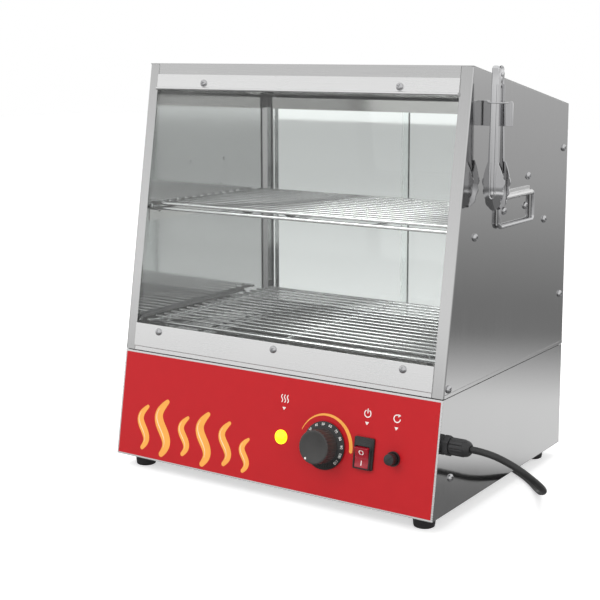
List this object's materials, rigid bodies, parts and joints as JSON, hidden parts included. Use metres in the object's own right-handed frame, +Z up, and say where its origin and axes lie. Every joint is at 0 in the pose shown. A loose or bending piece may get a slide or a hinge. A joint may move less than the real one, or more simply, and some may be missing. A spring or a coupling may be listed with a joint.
{
  "type": "hot dog steamer",
  "caption": "Counter-top steamer: heated water base, slanted glazed cabinet with wire racks for sausages and buns, rear sliding doors, bail handles, hung tongs.",
  "frame": {"origin": "on the counter under the middle of the steamer's box, measured without the cord, its coil and plug", "axes": "+X to the user's right along the front, +Y from the front to the rear, +Z up"},
  "size_m": [0.4974, 0.4502, 0.4487],
  "materials": {
    "steel_brushed": "brushed stainless sheet",
    "steel_polished": "polished stainless",
    "screw_steel": "bright zinc screws",
    "overlay_print": "glossy printed film",
    "rubber_black": "matt black rubber",
    "gasket_grey": "dark seal",
    "plastic_black": "satin black moulded plastic",
    "lamp_yellow": "lit translucent lens",
    "rocker_red": "translucent red",
    "glass_clear": "clear float glass",
    "wire_steel": "plated wire",
    "brass_plated": "nickel-plated brass",
    "heater_steel": "heat-tinted tube",
    "cord_black": "black cord jacket",
    "ceramic_white": "ceramic and phenolic"
  },
  "bodies": {
    "steamer": {"base_shell": "steel_brushed", "base_front_panel": "steel_brushed", "panel_overlay": "overlay_print", "base_bottom_plate": "steel_brushed", "foot_front_left": "rubber_black", "foot_front_right": "rubber_black", "foot_rear_left": "rubber_black", "foot_rear_right": "rubber_black", "base_side_screws": "screw_steel", "foot_screws": "screw_steel", "water_pan": "steel_brushed", "heating_element": "heater_steel", "drain_valve_body": "brass_plated", "indicator_lamp_body": "plastic_black", "indicator_lamp_lens": "lamp_yellow", "thermostat_body": "ceramic_white", "thermostat_bulb": "brass_plated", "rocker_switch_housing": "plastic_black", "reset_thermostat": "plastic_black", "side_panel_right": "steel_polished", "side_panel_left": "steel_polished", "roof_and_header": "steel_brushed", "header_cover_strip": "steel_brushed", "front_glass": "glass_clear", "front_sill": "steel_brushed", "glass_gasket": "gasket_grey", "glass_retainer_strip": "steel_brushed", "front_screws": "screw_steel", "glass_clips": "steel_brushed", "cabinet_gasket": "gasket_grey", "bun_rack_supports": "steel_brushed", "wall_screws": "screw_steel", "door_track_bottom": "steel_brushed", "door_track_top": "steel_brushed", "handle_bracket_right": "steel_brushed", "handle_bracket_left": "steel_brushed", "tongs_holder": "steel_brushed", "cord_gland_body": "plastic_black", "cord_gland_nut": "plastic_black", "power_cord": "cord_black", "power_cord_coil": "cord_black", "mains_plug": "plastic_black"},
    "knob": {"thermostat_knob": "plastic_black", "thermostat_shaft": "brass_plated"},
    "rocker": {"rocker_switch_actuator": "rocker_red"},
    "reset_cap": {"reset_cap": "plastic_black"},
    "reset_pin": {"reset_pin": "plastic_black"},
    "door_left": {"sliding_door_left": "glass_clear", "door_pull_left": "plastic_black"},
    "door_right": {"sliding_door_right": "glass_clear", "door_pull_right": "plastic_black"},
    "bun_rack": {"bun_rack": "wire_steel"},
    "hot_dog_rack": {"hot_dog_rack": "wire_steel"},
    "bail_right": {"handle_bail_right": "steel_polished"},
    "bail_left": {"handle_bail_left": "steel_polished"},
    "tongs": {"tongs_front_arm": "steel_polished", "tongs_pin": "steel_polished"},
    "tongs_rear": {"tongs_rear_arm": "steel_polished"},
    "lock_ring": {"tongs_lock_ring": "steel_polished"},
    "drain_lever": {"drain_valve_lever": "brass_plated"}
  },
  "joints": [
    {"name": "thermostat_turn", "type": "hinge", "parent": "steamer", "child": "knob", "pos_m": [0.05858, -0.16652, 0.06942], "axis": [0, 0.9865, -0.1635], "range_deg": [0, 300]},
    {"name": "rocker_rock", "type": "hinge", "parent": "steamer", "child": "rocker", "pos_m": [0.10537, -0.15941, 0.06459], "axis": [-1, 0, 0], "range_deg": [0, 20]},
    {"name": "reset_cap_unscrew", "type": "hinge", "parent": "steamer", "child": "reset_cap", "pos_m": [0.13878, -0.16258, 0.06876], "axis": [0, -0.9865, 0.1635], "range_deg": [0, 1080]},
    {"name": "reset_pin_press", "type": "slide", "parent": "steamer", "child": "reset_pin", "axis": [0, 0.9865, -0.1635], "range_m": [0, 0.002], "stiffness_N_per_m": 300},
    {"name": "door_left_slide", "type": "slide", "parent": "steamer", "child": "door_left", "axis": [1, 0, 0], "range_m": [0, 0.18]},
    {"name": "door_right_slide", "type": "slide", "parent": "steamer", "child": "door_right", "axis": [-1, 0, 0], "range_m": [0, 0.18]},
    {"name": "bun_rack_lift", "type": "slide", "parent": "steamer", "child": "bun_rack", "axis": [0, 0, 1], "range_m": [0, 0.04]},
    {"name": "hot_dog_rack_lift", "type": "slide", "parent": "steamer", "child": "hot_dog_rack", "axis": [0, 0, 1], "range_m": [0, 0.06]},
    {"name": "bail_right_swing", "type": "hinge", "parent": "steamer", "child": "bail_right", "pos_m": [0.18973, 0.005, 0.31542], "axis": [0, -1, 0], "range_deg": [0, 90]},
    {"name": "bail_left_swing", "type": "hinge", "parent": "steamer", "child": "bail_left", "pos_m": [-0.21698, 0.005, 0.31542], "axis": [0, 1, 0], "range_deg": [0, 90]},
    {"name": "tongs_lift", "type": "slide", "parent": "steamer", "child": "tongs", "axis": [0, 0, 1], "range_m": [0, 0.15]},
    {"name": "tongs_open", "type": "hinge", "parent": "tongs", "child": "tongs_rear", "pos_m": [0.20358, -0.0738, 0.43969], "axis": [1, 0, 0], "range_deg": [-2, 2.5]},
    {"name": "lock_ring_slide", "type": "slide", "parent": "tongs", "child": "lock_ring", "axis": [0, 0, 1], "range_m": [0, 0.012]},
    {"name": "drain_turn", "type": "hinge", "parent": "steamer", "child": "drain_lever", "pos_m": [-0.13362, 0.1586, 0.05892], "axis": [0, 0, -1], "range_deg": [0, 90]}
  ]
}
